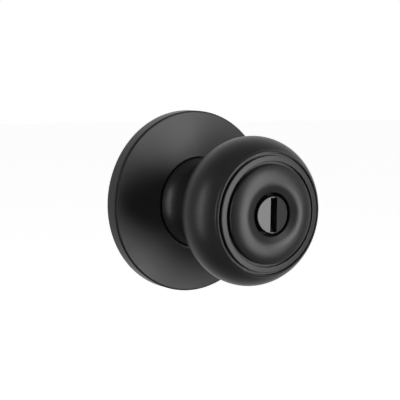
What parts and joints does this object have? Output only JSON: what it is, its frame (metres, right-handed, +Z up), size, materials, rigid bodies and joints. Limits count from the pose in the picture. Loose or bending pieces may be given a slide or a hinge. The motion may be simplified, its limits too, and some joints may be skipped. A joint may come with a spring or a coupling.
{
  "type": "door knob",
  "caption": "Round-rose privacy door knob, interior half, with a ball knob, turn button, return spring, hollow spindle and through screws.",
  "frame": {"origin": "centre of the rose on the door's surface, on the knob's axis", "axes": "+Y into the door along the knob's axis, so the knob stands out towards -Y; +Z up; +X to the right when facing the knob"},
  "size_m": [0.066, 0.0944, 0.066],
  "materials": {
    "black_coat": "satin black electro-coat",
    "black_button": "satin black coat, fine brushing under it",
    "zinc_steel": "bright zinc plate",
    "screw_steel": "zinc plate",
    "bush_nylon": "moulded nylon",
    "black_nylon": "moulded nylon",
    "spring_steel": "drawn spring wire",
    "sleeve_steel": "turned steel",
    "hub_zinc": "die-cast zinc",
    "spindle_steel": "drawn steel, yellow-white zinc",
    "catch_brass": "turned brass",
    "core_zinc": "die-cast zinc"
  },
  "bodies": {
    "door_side": {"rose_cover": "black_coat", "mounting_plate": "zinc_steel", "mounting_screws": "screw_steel", "screw_washers": "zinc_steel", "plate_bush": "bush_nylon", "spring_housing": "zinc_steel", "housing_rivets": "screw_steel", "return_spring": "spring_steel"},
    "knob": {"knob_shell": "black_coat", "knob_face": "black_coat", "knob_core": "core_zinc", "knob_sleeve": "sleeve_steel", "spring_washer": "spring_steel", "retaining_ring": "spring_steel", "drive_plate": "sleeve_steel", "spindle_hub": "hub_zinc", "spindle": "spindle_steel", "catch_spring": "spring_steel", "button_bush": "black_nylon", "detent_spring": "spring_steel"},
    "button": {"turn_button": "black_button", "lock_bar": "spindle_steel", "button_clip": "spring_steel"},
    "catch": {"knob_catch": "catch_brass"}
  },
  "joints": [
    {"name": "knob_turn", "type": "hinge", "parent": "door_side", "child": "knob", "pos_m": [0, 0, 0], "axis": [0, 1, 0], "range_deg": [-60, 60], "stiffness_Nm_per_rad": 0.25, "deforming": ["return_spring"]},
    {"name": "button_turn", "type": "hinge", "parent": "knob", "child": "button", "pos_m": [0, -0.045, 0], "axis": [0, 1, 0], "range_deg": [0, 90], "deforming": ["detent_spring"]},
    {"name": "catch_push", "type": "slide", "parent": "knob", "child": "catch", "axis": [0, 0, 1], "range_m": [0, 0.0017], "stiffness_N_per_m": 400, "deforming": ["catch_spring"]}
  ]
}
